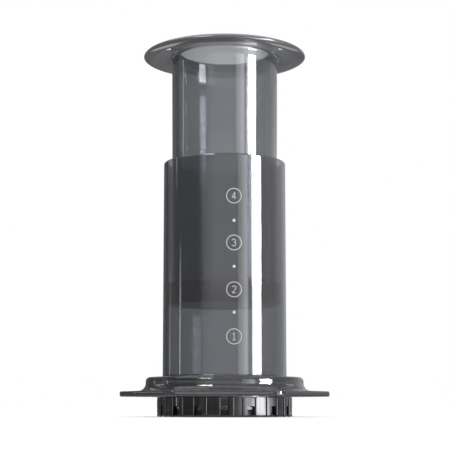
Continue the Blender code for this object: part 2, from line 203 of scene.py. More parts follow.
# %% The hexagon with rounded corners
def hexagon_radius(angle, inset):
    """Distance from the axis to a hexagon with rounded corners, drawn in by inset, at an angle.

    Along a flat it is the flat's distance / cos(angle from the flat's middle). Round a corner it is the far
    crossing of the ray with the corner's circle: c cos a + sqrt(rounding^2 - (c sin a)^2), with c the
    circle's distance and a the angle from the corner.
    """
    sixth = math.tau / 6
    aside = np.abs((angle + sixth / 2) % sixth - sixth / 2)
    rounding = np.maximum(FLANGE_CORNER_ROUNDING - inset, 0.5 * MM)
    centre = (FLANGE_FLAT_RADIUS - inset - rounding) / math.cos(sixth / 2)
    tangent = np.arctan2(rounding * math.sin(sixth / 2), centre + rounding * math.cos(sixth / 2))
    on_flat = (FLANGE_FLAT_RADIUS - inset) / np.cos(sixth / 2 - aside)
    under_root = np.maximum(rounding**2 - (centre * np.sin(aside)) ** 2, 0)
    on_corner = centre * np.cos(aside) + np.sqrt(under_root)
    return np.where(aside < tangent, on_corner, on_flat)


# %% The chamber's section
chamber_section = held(
    rounded(
        [
            (TUBE_TOP_RADIUS, CHAMBER_TOP, 0.9 * MM, 0),
            (TUBE_RADIUS, TUBE_FOOT, 0.8 * MM, 0),
            (BOSS_RADIUS, BOSS_TOP, 2.1 * MM, 0),
            (BOSS_RADIUS, BOSS_FOOT, 3.9 * MM, 0),
            (FLANGE_FLAT_RADIUS, FLANGE_TOP, 0.8 * MM, 1),
            (FLANGE_FLAT_RADIUS, FLANGE_BOTTOM, 0.8 * MM, 1),
            (CHANNEL_RADIUS, FLANGE_BOTTOM, 0.4 * MM, 0),
            (CHANNEL_RADIUS, CHANNEL_TOP, 1.0 * MM, 0),
            (SPIGOT_RADIUS, CHANNEL_TOP, 1.0 * MM, 0),
            (SPIGOT_RADIUS, SPIGOT_BOTTOM, 0.3 * MM, 0),
            (BORE_RADIUS, SPIGOT_BOTTOM, 0.3 * MM, 0),
            (BORE_RADIUS, CHAMBER_TOP, 0.5 * MM, 0),
        ]
    ),
    closed=True,
)
print("the chamber's section has", len(chamber_section), "points")

# %% [markdown]
# The flange's corners turn sharply and its flats are straight, so the columns of the grid crowd towards the
# corners: a small sine, six times round, is taken off evenly spaced angles.

# %% Make the chamber
CHAMBER_COLUMNS = 288
CROWDING = math.radians(5.5)
even = np.linspace(0, math.tau, CHAMBER_COLUMNS, endpoint=False)
chamber_angles = even - CROWDING * np.sin(6 * even)
radius, height, hexagonal = (column[:, None] for column in chamber_section.T)
to_hexagon = hexagon_radius(chamber_angles, FLANGE_FLAT_RADIUS - radius) - radius
chamber_points = around(radius + hexagonal * to_hexagon, chamber_angles, height)
chamber = make_piece(
    "chamber_moulding",
    chamber_points,
    grid_faces(numbered(chamber_points), close_rows=True, close_columns=True),
    "chamber",
    nodes=["chamber"],
)

# %% [markdown]
# ## The bayonet
#
# Sixteen lugs on the spigot pass under sixteen ledges in the cap. Both are short curved blocks, so one
# function makes them: stations at a few angles, each with its own lower and upper height, and four corners
# at each station. The sloped end that leads a lug in and the stop that ends the turn are only stations with
# other heights.

# %% Curved blocks round the axis
BLOCK_COUNT = 16
SOFT_EDGE = 0.12 * MM


def curved_blocks(inner, outer, angles, bottoms, tops):
    """Points and faces of equal blocks round the axis: (radius, height) corners repeated at each station."""
    angles, bottoms, tops = (np.asarray(values, float) for values in (angles, bottoms, tops))
    middles = np.arange(BLOCK_COUNT) * math.tau / BLOCK_COUNT
    turned = middles[:, None, None] + angles[None, :, None]
    radii = np.array([inner, outer, outer, inner])
    heights = np.stack([bottoms, bottoms, tops, tops], axis=1)
    points = around(radii[None, None, :], turned, heights[None])
    index = numbered(points)
    sides = [grid_faces(block, close_rows=False, close_columns=True) for block in index]
    ends = index[:, [0, -1]].reshape(-1, 4)
    return points, np.concatenate(sides + [ends])


def soften(piece):
    """A narrow bevel on the hard edges of a blocky piece."""
    bevel = piece.modifiers.new("soft edges", "BEVEL")
    bevel.width = SOFT_EDGE
    bevel.segments = 2
    bevel.limit_method = "ANGLE"
    bevel.angle_limit = math.radians(40)
    bevel.harden_normals = False


# %% Lugs on the spigot
CAP_INNER_RADIUS = 33.3 * MM
LUG_HALF_ANGLE = 3.3 * MM / CAP_INNER_RADIUS / 2
LUG_RADIUS = 33.0 * MM
LUG_TOP = 5.16 * MM
LUG_BOTTOM = 3.86 * MM
LUG_LEAD = 0.4 * MM
LUG_ROOT = 0.2 * MM
lug_points, lug_faces = curved_blocks(
    SPIGOT_RADIUS - LUG_ROOT,
    LUG_RADIUS,
    [-LUG_HALF_ANGLE, LUG_HALF_ANGLE / 2, LUG_HALF_ANGLE],
    [LUG_BOTTOM] * 3,
    [LUG_TOP, LUG_TOP, LUG_TOP - LUG_LEAD],
)
lugs = make_piece(
    "chamber_lugs", lug_points, lug_faces, "chamber", nodes=["chamber"], sharp_over=40
)
soften(lugs)

# %% [markdown]
# ## The plunger and its seal
#
# The plunger is a hollow clear moulding that is open at the top, where a wide flange takes the hand. It
# narrows a little towards its foot so that it leaves the mould, and a neck under its shoulder holds the
# seal. The flange's crown and its lip are quarters of two ovals that meet at the rim, so the light runs
# round it without a break.

# %% Turn an outline about the axis
def turned_piece(name, rows, body, nodes, count=224):
    """A solid of revolution from an outline that starts and ends on the axis."""
    angles = np.linspace(0, math.tau, count, endpoint=False)
    points = around(rows[:, :1], angles[None], rows[:, 1:2])
    return make_piece(name, points, grid_faces(numbered(points), False, True), body, nodes=nodes)


# %% Sizes of the plunger
PLUNGER_FOOT = 57.5 * MM
PLUNGER_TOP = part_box("plunger")[1].z
FOOT_RADIUS = 27.15 * MM
PLUNGER_DRAFT = 1.05 * MM
PLUNGER_WALL = 3.5 * MM
RIM_RADIUS = 43.2 * MM
CROWN_WIDTH = 9.2 * MM
CROWN_RISE = 3.0 * MM
LIP_WIDTH = 4.9 * MM
LIP_DROP = 1.5 * MM
RIM_HEIGHT = PLUNGER_TOP - CROWN_RISE


def plunger_radius(height):
    """Radius of the plunger's outside: its foot's, plus a draft that grows evenly with the height."""
    return FOOT_RADIUS + PLUNGER_DRAFT * (height - PLUNGER_FOOT) / (PLUNGER_TOP - PLUNGER_FOOT)


def oval(reach, rise, start, end, steps=20):
    """Corners without rounding along an oval that ends at the flange's rim: (reach cos a, rise sin a)."""
    turn = np.radians(np.linspace(start, end, steps + 1))
    radius = RIM_RADIUS - reach + reach * np.cos(turn)
    return np.stack([radius, RIM_HEIGHT + rise * np.sin(turn), np.zeros_like(turn)], axis=1)


# %% The plunger's outline
mouth_radius = plunger_radius(PLUNGER_TOP) - PLUNGER_WALL
floor_height = PLUNGER_FOOT + 5.5 * MM
root_height = RIM_HEIGHT - 0.3 * MM
shoulder = PLUNGER_FOOT + 11.3 * MM
head_top = PLUNGER_FOOT + 5.3 * MM
head_bottom = PLUNGER_FOOT + 2.5 * MM
head_radius = FOOT_RADIUS - 0.6 * MM
neck_radius = FOOT_RADIUS - 1.4 * MM
plunger_outline = np.concatenate(
    [
        [
            (0, floor_height, 0),
            (FOOT_RADIUS - PLUNGER_WALL, floor_height, 2.0 * MM),
            (mouth_radius, PLUNGER_TOP, 0.8 * MM),
        ],
        oval(CROWN_WIDTH, CROWN_RISE, 90, 0),
        oval(LIP_WIDTH, LIP_DROP, 0, -90)[1:],
        [
            (plunger_radius(root_height), root_height, 1.5 * MM),
            (plunger_radius(shoulder), shoulder, 0.5 * MM),
            (neck_radius, shoulder, 0.2 * MM),
            (neck_radius, head_top + 0.6 * MM, 0.2 * MM),
            (head_radius, head_top, 0.2 * MM),
            (head_radius, head_bottom, 0.6 * MM),
            (0, head_bottom, 0),
        ],
    ]
)
print("the plunger's outline has", len(plunger_outline), "corners")

# %% Make the plunger
plunger = turned_piece(
    "plunger_moulding", held(rounded(plunger_outline), closed=False), "plunger", ["plunger"]
)

# %% [markdown]
# The seal is a cup of smoky rubber that snaps over the head. Two ridges touch the bore, with a waist
# between them so that it slides without too much drag, and its inside follows the head with a hair's gap.

# %% Make the seal
SEAL_RADIUS = 29.9 * MM
SEAL_HEIGHT = 11.0 * MM
SEAL_FLOOR = 2.2 * MM
WAIST_RADIUS = 29.2 * MM
WAIST_BOTTOM = 4.4 * MM
WAIST_TOP = 7.7 * MM
WAIST_SLOPE = 0.7 * MM
POCKET_RADIUS = 26.85 * MM
POCKET_TOP = 5.6 * MM
COLLAR_RADIUS = 26.05 * MM
COLLAR_BOTTOM = 6.2 * MM
seal_outline = [
    (0, 0, 0),
    (SEAL_RADIUS, 0, 1.1 * MM),
    (SEAL_RADIUS, WAIST_BOTTOM - WAIST_SLOPE, 0.4 * MM),
    (WAIST_RADIUS, WAIST_BOTTOM, 0.4 * MM),
    (WAIST_RADIUS, WAIST_TOP, 0.4 * MM),
    (SEAL_RADIUS, WAIST_TOP + WAIST_SLOPE, 0.4 * MM),
    (SEAL_RADIUS, SEAL_HEIGHT, 0.5 * MM),
    (COLLAR_RADIUS, SEAL_HEIGHT, 0.2 * MM),
    (COLLAR_RADIUS, COLLAR_BOTTOM, 0.1 * MM),
    (POCKET_RADIUS, POCKET_TOP, 0.1 * MM),
    (POCKET_RADIUS, SEAL_FLOOR, 0.6 * MM),
    (0, SEAL_FLOOR, 0),
]
seal_rows = held(rounded(seal_outline, steps=6), closed=False) + [0, PLUNGER_FOOT]
seal = turned_piece("plunger_seal", seal_rows, "seal", ["seal"])

# %% [markdown]
# ## The filter cap
#
# The cap is the black moulding that everything stands on. Its wall is one ring whose outside follows 32
# ribs and whose inside is round, so the same trick as for the hexagon serves: a number on each corner of
# the section says which of the two it follows. Sixteen windows are left open in the grid, and strips of
# faces join the wall's inside and outside round each of them. Cutting them with Booleans would leave thin
# slivers next to the ribs' rounded edges.

# %% Outline of the ribs
CAP_HEIGHT = 10.0 * MM
GROOVE_RADIUS = 34.3 * MM
RIB_RADIUS = 35.0 * MM
RIB_COUNT = 32
RIB_SHARE = 0.41
FLANK_SHARE = 0.03
RIB_ROUNDING = 0.26 * MM
WINDOW_SHARE = 0.96
WINDOW_COLUMNS = 7
rib_pitch = math.tau / RIB_COUNT
pitch_length = rib_pitch * GROOVE_RADIUS
groove_half = pitch_length * (1 - RIB_SHARE) / 2
flank = pitch_length * FLANK_SHARE
window_half = groove_half * WINDOW_SHARE
groove_columns = np.linspace(-1, 1, WINDOW_COLUMNS)[:, None] * [window_half, 0, 0] + [0, GROOVE_RADIUS, 0]
rib_outline = rounded(
    np.concatenate(
        [
            groove_columns,
            [
                (groove_half, GROOVE_RADIUS, 0),
                (groove_half + flank, RIB_RADIUS, RIB_ROUNDING),
                (pitch_length / 2, RIB_RADIUS, 0),
                (pitch_length - groove_half - flank, RIB_RADIUS, RIB_ROUNDING),
                (pitch_length - groove_half, GROOVE_RADIUS, 0),
            ],
        ]
    ),
    steps=5,
)
columns_per_rib = len(rib_outline)
rib_angle = (np.arange(RIB_COUNT)[:, None] * rib_pitch + rib_outline[:, 0] / GROOVE_RADIUS).ravel()
rib_radius = np.tile(rib_outline[:, 1], RIB_COUNT)
print(RIB_COUNT, "ribs of", columns_per_rib, "columns each")

# %% [markdown]
# The wall's section starts at the outer foot and goes up, over and down inside. The row just under the top
# keeps the upper wall's shading level, for the same reason as before.

# %% The wall's section and its points
WINDOW_BOTTOM = 0.9 * MM
WINDOW_TOP = 5.46 * MM
WALL_DEPTH = 1.0 * MM
wall_section = rounded(
    [
        (0, 0, 0.4 * MM, 0),
        (0, WINDOW_BOTTOM, 0, 0),
        (0, WINDOW_TOP, 0, 0),
        (0, CAP_HEIGHT - 0.3 * MM, 0, 0),
        (0, CAP_HEIGHT, 0.12 * MM, 0),
        (WALL_DEPTH, CAP_HEIGHT, 0.15 * MM, 1),
        (WALL_DEPTH, WINDOW_TOP, 0, 1),
        (WALL_DEPTH, WINDOW_BOTTOM, 0, 1),
        (WALL_DEPTH, 0, 0, 1),
    ],
    steps=5,
)
inset, height, inner = (column[:, None] for column in wall_section.T)
outside = rib_radius[None] - inset
inside = CAP_INNER_RADIUS + WALL_DEPTH - inset
wall_points = around((1 - inner) * outside + inner * inside, rib_angle[None], height)
wall_index = numbered(wall_points)

# %% Leave the windows open
def row_at(level, side):
    """The section's row at a height on the wall's outside (0) or inside (1)."""
    return int(np.flatnonzero(np.isclose(wall_section[:, 1], level) & (wall_section[:, 2] == side))[0])


outer_low, outer_high = row_at(WINDOW_BOTTOM, 0), row_at(WINDOW_TOP, 0)
inner_low, inner_high = row_at(WINDOW_BOTTOM, 1), row_at(WINDOW_TOP, 1)
window_starts = np.arange(0, RIB_COUNT, 2) * columns_per_rib
window_columns = window_starts[:, None] + np.arange(WINDOW_COLUMNS)
quads = grid_faces(wall_index, True, True).reshape(len(wall_section), -1, 4)
kept = np.full(quads.shape[:2], True)
before, after = window_columns[:, :-1], window_columns[:, 1:]
kept[outer_low, before] = False
kept[inner_high, before] = False
sills = [
    np.stack(
        [
            wall_index[outer_row, before],
            wall_index[outer_row, after],
            wall_index[inner_row, after],
            wall_index[inner_row, before],
        ],
        axis=-1,
    ).reshape(-1, 4)
    for outer_row, inner_row in ((outer_low, inner_low), (outer_high, inner_high))
]
corner_rows = np.array([outer_low, outer_high, inner_high, inner_low])
jambs = [wall_index[corner_rows, window_columns[:, side, None]] for side in (0, -1)]
print(len(window_starts), "windows left open")

# %% Make the cap's wall
cap_wall = make_piece(
    "cap_wall",
    wall_points,
    np.concatenate([quads[kept], *sills, *jambs]),
    "cap",
    nodes=["filter_cap"],
    sharp_over=40,
)

# %% [markdown]
# The floor of the cap is drilled: one hole in the middle, then rings of 6, 12, 18, 24 and 30. Each hole
# gets its own cell of the floor, a piece of a ring, and its faces run from the cell's border to the hole's
# edge and down through it. Every border is cut at the same 360 places round the axis, so that the cells of
# one ring meet those of the next point to point and the floor is closed. A low collar round the drilled
# part keeps the paper in the middle, and it is what shows through the lower half of the windows.

# %% Cells of the drilled floor
HOLE_RADIUS = 1.0 * MM
HOLE_PITCH = 5.2 * MM
HOLE_RINGS = 5
FLOOR_TOP = 1.8 * MM
SIDE_STEPS = 6
ROUND_STEPS = 360
HOLE_EDGE = 0.15 * MM
hole_levels = np.array(
    [
        (HOLE_RADIUS + HOLE_EDGE, FLOOR_TOP),
        (HOLE_RADIUS + 0.3 * HOLE_EDGE, FLOOR_TOP - 0.3 * HOLE_EDGE),
        (HOLE_RADIUS, FLOOR_TOP - HOLE_EDGE),
        (HOLE_RADIUS, HOLE_EDGE),
        (HOLE_RADIUS + 0.3 * HOLE_EDGE, 0.3 * HOLE_EDGE),
        (HOLE_RADIUS + HOLE_EDGE, 0),
    ]
)


def drilled(border, centre):
    """Points from each cell's border to its hole's edge, through the hole, and back to the border underneath.

    border is (cells, points, 2) and centre is (cells, 2). A point on the hole is its centre plus the hole's
    radius times the direction from the centre to the border's point.
    """
    away = border - centre[:, None]
    away /= np.linalg.norm(away, axis=2, keepdims=True)
    flat = [np.insert(border, 2, level, axis=2) for level in (FLOOR_TOP, 0)]
    rings = [np.insert(centre[:, None] + size * away, 2, level, axis=2) for size, level in hole_levels]
    return np.stack([flat[0], *rings, flat[1]], axis=1)


def ring_of_cells(ring):
    """The border and the middle of each cell in a ring of holes, counted from the middle of the floor."""
    count = 6 * ring
    along = np.linspace(0, 1, ROUND_STEPS // count + 1)[:-1]
    across = np.linspace(0, 1, SIDE_STEPS + 1)[:-1]
    zero = np.zeros_like
    side = np.concatenate([along, 1 + zero(across), 1 - along, zero(across)])
    depth = np.concatenate([zero(along), across, 1 + zero(along), 1 - across])
    first_step = -(ROUND_STEPS // count // 2) / ROUND_STEPS
    angle = ((np.arange(count)[:, None] + side[None]) / count + first_step) * math.tau
    distance = (ring - 0.5 + depth) * HOLE_PITCH
    border = around(distance[None], angle, 0)[..., :2]
    centre = around(ring * HOLE_PITCH, np.arange(count) * math.tau / count, 0)[..., :2]
    return drilled(border, centre)


# %% All the cells
circle = np.linspace(0, math.tau, ROUND_STEPS, endpoint=False)
first = drilled(around(HOLE_PITCH / 2, circle, 0)[None, :, :2], np.zeros((1, 2)))
cells = [first] + [ring_of_cells(ring) for ring in range(1, HOLE_RINGS + 1)]
print(sum(len(cell_ring) for cell_ring in cells), "holes in the floor")

# %% The solid ring and its collar
FLOOR_OVERLAP = 0.02 * MM
PAPER_COLLAR_INNER = 31.95 * MM
PAPER_COLLAR_OUTER = 32.45 * MM
PAPER_COLLAR_TOP = 3.6 * MM
drilled_radius = (HOLE_RINGS + 0.5) * HOLE_PITCH
floor_radius = CAP_INNER_RADIUS + FLOOR_OVERLAP
edge_rows = rounded(
    [
        (drilled_radius, FLOOR_TOP, 0),
        (PAPER_COLLAR_INNER, FLOOR_TOP, 0.1 * MM),
        (PAPER_COLLAR_INNER, PAPER_COLLAR_TOP, 0.2 * MM),
        (PAPER_COLLAR_OUTER, PAPER_COLLAR_TOP, 0.2 * MM),
        (PAPER_COLLAR_OUTER, WINDOW_BOTTOM, 0.1 * MM),
        (floor_radius, WINDOW_BOTTOM, 0),
        (floor_radius, 0, 0),
        (drilled_radius, 0, 0),
    ]
)
edge = around(edge_rows[:, :1], circle[None], edge_rows[:, 1:2])

# %% Make the floor
floor_points, floor_faces, total = [], [], 0
for part in [edge, *(cell for cell_ring in cells for cell in cell_ring)]:
    floor_faces.append(grid_faces(total + numbered(part), False, True))
    floor_points.append(part.reshape(-1, 3))
    total += len(floor_points[-1])
cap_floor = make_piece(
    "cap_floor",
    np.concatenate(floor_points),
    np.concatenate(floor_faces),
    "cap",
    nodes=["filter_cap"],
    sharp_over=40,
)

# %% [markdown]
# Each ledge bridges the top of a window, where the mould's core came through the wall, and the stop at its
# end hangs down beside the lug, which clears it by the turning gap.

# %% Ledges and stops in the cap
TURNING_GAP = 0.3 * MM
LEDGE_RADIUS = 32.1 * MM
LEDGE_ROOT = 0.3 * MM
LEDGE_HEIGHT = 1.6 * MM
STOP_SLOPE = 0.2 * MM
STOP_WIDTH = 0.9 * MM
stop_start = LUG_HALF_ANGLE + TURNING_GAP / CAP_INNER_RADIUS
stop_foot = stop_start + STOP_SLOPE / CAP_INNER_RADIUS
stop_end = stop_start + STOP_WIDTH / CAP_INNER_RADIUS
ledge_points, ledge_faces = curved_blocks(
    LEDGE_RADIUS,
    CAP_INNER_RADIUS + LEDGE_ROOT,
    [-stop_end, -stop_foot, -stop_start, LUG_HALF_ANGLE],
    [LUG_BOTTOM, LUG_BOTTOM, WINDOW_TOP, WINDOW_TOP],
    [WINDOW_TOP + LEDGE_HEIGHT] * 4,
)
ledges = make_piece(
    "cap_ledges", ledge_points, ledge_faces, "cap", nodes=["filter_cap"], sharp_over=40
)
soften(ledges)

# %% [markdown]
# ## The paper
#
# The paper round lies on the cap's floor under the spigot. It shows only from above, through the tube, and
# from below, through the holes. It is a plain thin disc with a soft edge.

# %% Make the paper
PAPER_RADIUS = 31.75 * MM
paper_low, paper_high = (corner.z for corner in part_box("paper_filter"))
paper_rows = [
    (0, paper_low, 0),
    (PAPER_RADIUS, paper_low, 0.1 * MM),
    (PAPER_RADIUS, paper_high, 0.1 * MM),
    (0, paper_high, 0),
]
paper_outline = held(rounded(paper_rows, steps=3), closed=False)
paper = turned_piece("paper_round", paper_outline, "cap", ["paper_filter"], count=128)

# %% [markdown]
# ## The printed marks
#
# Four dose marks are printed up the tube, each a ring with a number in it, with a dot half way from one to
# the next. Print is a film of ink a twentieth of a millimetre thick. Text objects could give the numbers,
# but they would have to be bent round the tube, so each stroke is a flat band carried along a path on the
# unrolled tube and then rolled up. The numbers are drawn in units of half their height.

# %% Bands of ink on the tube
INK_UNDER = 0.01 * MM
INK_OVER = 0.05 * MM


def band(path, width, closed=False):
    """Section corners along a path: each point moved half a width to either side, under and over the surface.

    The side direction is the path's own direction turned a quarter: (dx, dy) becomes (-dy, dx).
    """
    if closed:
        along = np.roll(path, -1, axis=0) - np.roll(path, 1, axis=0)
    else:
        along = np.gradient(path, axis=0)
    aside = unit(along)[:, ::-1] * [-1, 1] * width / 2
    left, right = path + aside, path - aside
    flat = np.stack([left, right, right, left], axis=1)
    rise = np.broadcast_to([-INK_UNDER, -INK_UNDER, INK_OVER, INK_OVER], flat.shape[:2])
    corners = np.concatenate([flat, rise[..., None]], axis=2)
    index = numbered(corners)
    faces = grid_faces(index, closed, True)
    if not closed:
        faces = np.concatenate([faces, index[[0, -1]]])
    return corners.reshape(-1, 3), faces


def bow(x, y, size, start, end, steps=24):
    """A path round (x, y): size times (cos, sin) of angles from start to end, in degrees."""
    turn = np.radians(np.linspace(start, end, steps + 1))
    return np.stack([x + size * np.cos(turn), y + size * np.sin(turn)], axis=1)


def line(start, end, steps=6):
    """A straight path: start times one share plus end times the rest."""
    share = np.linspace(0, 1, steps + 1)[:, None]
    return np.array(start) * (1 - share) + np.array(end) * share


# %% The strokes of the four numbers
def two():
    """A bow that runs on into the slanted stroke, and the foot."""
    head = bow(0, 0.43, 0.5, 165, -32)
    return [np.concatenate([head, line(head[-1], (-0.5, -0.92))[1:]]), line((-0.55, -0.92), (0.55, -0.92))]


NUMBERS = {
    1: [
        line((-0.38, 0.62), (0.06, 0.92)),
        line((0.0, 0.95), (0.0, -0.95)),
        line((-0.38, -0.92), (0.38, -0.92)),
    ],
    2: two(),
    3: [bow(-0.03, 0.45, 0.47, 165, -90), bow(-0.03, -0.44, 0.51, 90, -165)],
    4: [
        line((0.22, -0.95), (0.22, 0.95)),
        line((0.2, 0.92), (-0.52, -0.42)),
        line((-0.58, -0.42), (0.6, -0.42)),
    ],
}
NUMBER_HALF_HEIGHT = 1.9 * MM
STROKE_WIDTH = 0.30 * MM
RING_RADIUS = 3.76 * MM
RING_WIDTH = 0.36 * MM


# %% Roll the ink up round the tube
MARKS_RIGHT_OF_FRONT = 8.5
MARK_ANGLE = math.radians(MARKS_RIGHT_OF_FRONT - 90)


def tube_radius(height):
    """Radius of the tube's outside, which changes evenly from TUBE_RADIUS to TUBE_TOP_RADIUS at the rim."""
    share = (height - FLANGE_BOTTOM) / (CHAMBER_TOP - FLANGE_BOTTOM)
    return TUBE_RADIUS + (TUBE_TOP_RADIUS - TUBE_RADIUS) * share


def rolled(corners, middle_height):
    """Points on the tube: across becomes an angle, across / radius, and the ink's rise adds to the radius."""
    across, up, rise = corners.T
    height = middle_height + up
    return around(tube_radius(height) + rise, MARK_ANGLE + across / TUBE_RADIUS, height)


def print_mark(name, middle_height, bands):
    """One piece of ink from several bands."""
    points, faces, total = [], [], 0
    for corners, quads_of_band in bands:
        points.append(rolled(corners, middle_height))
        faces.append(quads_of_band + total)
        total += len(corners)
    return make_piece(name, np.concatenate(points), np.concatenate(faces), "chamber", sharp_over=40)


# %% Print the dose marks
MARK_HEIGHTS = {1: 39.9 * MM, 2: 63.4 * MM, 3: 87.05 * MM, 4: 110.9 * MM}
ink_pieces = []
for number, mark_height in MARK_HEIGHTS.items():
    circle_path = bow(0, 0, RING_RADIUS, 0, 360, steps=72)[:-1]
    bands = [band(circle_path, RING_WIDTH, closed=True)]
    bands += [band(stroke * NUMBER_HALF_HEIGHT, STROKE_WIDTH) for stroke in NUMBERS[number]]
    ink_pieces.append(print_mark(f"dose_mark_{number}", mark_height, bands))

# %% Dots between the marks
DOT_RADIUS = 0.8 * MM
DOT_HEIGHTS = (51.97 * MM, 75.0 * MM, 98.3 * MM)


def dot():
    """A low round pad: rings of points from the middle underneath, round its edge, to the middle on top."""
    radius = np.array([0, DOT_RADIUS, DOT_RADIUS, 0])[:, None]
    rise = np.array([-INK_UNDER, -INK_UNDER, INK_OVER, INK_OVER])[:, None]
    points = around(radius, np.linspace(0, math.tau, 32, endpoint=False)[None], rise)
    return points.reshape(-1, 3), grid_faces(numbered(points), False, True)


for number, dot_height in enumerate(DOT_HEIGHTS, start=1):
    ink_pieces.append(print_mark(f"dose_dot_{number}", dot_height, [dot()]))
print(len(ink_pieces), "pieces of ink")

# %% [markdown]
# ## Shader maths
#
# A finish is a few textures added and scaled. Written as nodes by hand that is long to read, so a small
# class wraps a socket: adding, subtracting or multiplying adds the Math node that does it, and a plain
# number may stand on either side. Any other node comes from one method, which takes the node's kind, its
# settings and the values or links of its sockets. A socket goes by its name, or by i and its number where
# two share a name.

# %% A socket that can be calculated with
class Flow:
    """A value in a material: the socket it comes from, with operators that add Math nodes."""

    def __init__(self, tree, socket=None):
        self.tree = tree
        self.socket = socket

    def node(self, kind, settings=None, output=0, **inputs):
        """Add a node of a kind: its settings first, then the values or links of its sockets by name."""
        made = self.tree.nodes.new(kind)
        for name, value in (settings or {}).items():
            setattr(made, name, value)
        for name, value in inputs.items():
            key = int(name[1:]) if name[0] == "i" and name[1:].isdigit() else name.replace("_", " ")
            if isinstance(value, Flow):
                self.tree.links.new(value.socket, made.inputs[key])
            elif value is not None:
                made.inputs[key].default_value = value
        return Flow(self.tree, made.outputs[output] if made.outputs else None)

    def math(self, operation, first, second):
        """A Math node on two values."""
        return self.node("ShaderNodeMath", {"operation": operation}, i0=first, i1=second)

    def highest(self, other):
        """The larger of two values."""
        return self.math("MAXIMUM", self, other)

    def __add__(self, other):
        return self.math("ADD", self, other)

    def __sub__(self, other):
        return self.math("SUBTRACT", self, other)

    def __rsub__(self, other):
        return self.math("SUBTRACT", other, self)

    def __mul__(self, other):
        return self.math("MULTIPLY", self, other)

    __radd__ = __add__
    __rmul__ = __mul__


# %% Materials and their outputs
def new_finish(name):
    """An empty material, and a Flow on its node tree."""
    material = bpy.data.materials.new(name)
    material.use_nodes = True
    material.node_tree.nodes.clear()
    return material, Flow(material.node_tree)


def finish_with(flow, shader, volume=None):
    """Connect a shader, and a volume where there is one, to the material's output."""
    flow.node("ShaderNodeOutputMaterial", Surface=shader, Volume=volume)


# %% Patterns on a piece's own coordinates
OBJECT_COORDINATES = 3


def object_noise(flow, scale, detail=2.0, stretch=(1, 1, 1)):
    """Noise on the piece's own coordinates, in features per metre, stretched along the axes."""
    place = flow.node("ShaderNodeTexCoord", output=OBJECT_COORDINATES)
    mapped = flow.node("ShaderNodeMapping", Vector=place, Scale=stretch)
    return flow.node("ShaderNodeTexNoise", Vector=mapped, Scale=scale, Detail=detail)


def uneven(flow, height, strength, depth):
    """The surface's direction on bumps of a depth, drawn by a height from 0 to 1."""
    return flow.node("ShaderNodeBump", Height=height, Strength=strength, Distance=depth)


def two_tones(flow, share, first, second):
    """A colour between two, by a share from 0 to 1."""
    return flow.node("ShaderNodeMix", {"data_type": "RGBA"}, output=2, i0=share, i6=first, i7=second)


def distance_from_axis(flow):
    """Distance of a place from the piece's axis: the length of its coordinates with the height made zero."""
    place = flow.node("ShaderNodeTexCoord", output=OBJECT_COORDINATES)
    flat = flow.node("ShaderNodeVectorMath", {"operation": "MULTIPLY"}, i0=place, i1=(1, 1, 0))
    return flow.node("ShaderNodeVectorMath", {"operation": "LENGTH"}, output=1, i0=flat)


# %% [markdown]
# ## Smoky clear plastic
#
# The smoke is dye all through the plastic, so it belongs in the volume: light fades with the length of its
# way through the wall, and a tube looks darkest where the eye looks along its wall. A tinted surface would
# darken a thin wall and a thick one alike. The dye takes a little more red than blue. A small share of the
# surface is plain grey, for the haze that such plastic always has, and a clear coat gives the polished skin
# its strong reflections. Handling leaves faint smudges, which only change how sharp the reflections are,
# and moulding leaves a ripple of a few thousandths of a millimetre.
#
# The plunger's hand flange looks cloudier than the tube under it. So a second, half matt shader is mixed in
# there, by the distance from the axis, and the tube inside that distance stays clear.

# %% Make the smoky plastics
SMOKE_COLOR = (0.8, 0.815, 0.845, 1)
FADING_COLOR = (0.0, 0.01, 0.036, 1)
CLOUD_COLOR = (0.16, 0.164, 0.172, 1)
CLOUD_SHARE = 0.6
CLOUD_BLEND = 0.8 * MM
PLASTIC_IOR = 1.5
RIPPLE_DEPTH = 0.006 * MM


def smoky_plastic(name, density, haze, cloudy_from=None):
    """Clear plastic that fades light by exp(-density * (1 - colour) * length) inside its walls.

    Outside the distance cloudy_from from the axis, a share of the surface is cloudy.
    """
    material, flow = new_finish(name)
    smudges = object_noise(flow, 45.0, detail=4.0, stretch=(1, 1, 0.5))
    ripple = object_noise(flow, 40.0, detail=1.0, stretch=(1, 1, 0.25))
    shader = flow.node(
        "ShaderNodeBsdfPrincipled",
        Base_Color=SMOKE_COLOR,
        Roughness=0.005 + 0.008 * smudges,
        IOR=PLASTIC_IOR,
        Transmission_Weight=1 - haze,
        Coat_Weight=1.0,
        Coat_Roughness=0.01,
        Coat_IOR=PLASTIC_IOR,
        Normal=uneven(flow, ripple, strength=0.05, depth=RIPPLE_DEPTH),
    )
    if cloudy_from:
        cloudy_to = cloudy_from + CLOUD_BLEND
        outside = flow.node("ShaderNodeMapRange", i0=distance_from_axis(flow), i1=cloudy_from, i2=cloudy_to)
        cloud = flow.node(
            "ShaderNodeBsdfPrincipled",
            Base_Color=CLOUD_COLOR,
            Roughness=0.3,
            IOR=PLASTIC_IOR,
            Coat_Weight=1.0,
            Coat_Roughness=0.02,
            Coat_IOR=PLASTIC_IOR,
        )
        shader = flow.node("ShaderNodeMixShader", Fac=CLOUD_SHARE * outside, i1=shader, i2=cloud)
    smoke = flow.node("ShaderNodeVolumeAbsorption", Color=FADING_COLOR, Density=density)
    finish_with(flow, shader, smoke)
    return material


CLOUDY_FROM = 28.8 * MM
chamber_smoke = smoky_plastic("chamber_smoky_plastic", density=465.0, haze=0.042)
plunger_smoke = smoky_plastic("plunger_smoky_plastic", density=222.0, haze=0.085, cloudy_from=CLOUDY_FROM)
for piece in (chamber, lugs):
    piece.data.materials.append(chamber_smoke)
plunger.data.materials.append(plunger_smoke)
print("nodes in the plunger's finish:", len(plunger_smoke.node_tree.nodes))

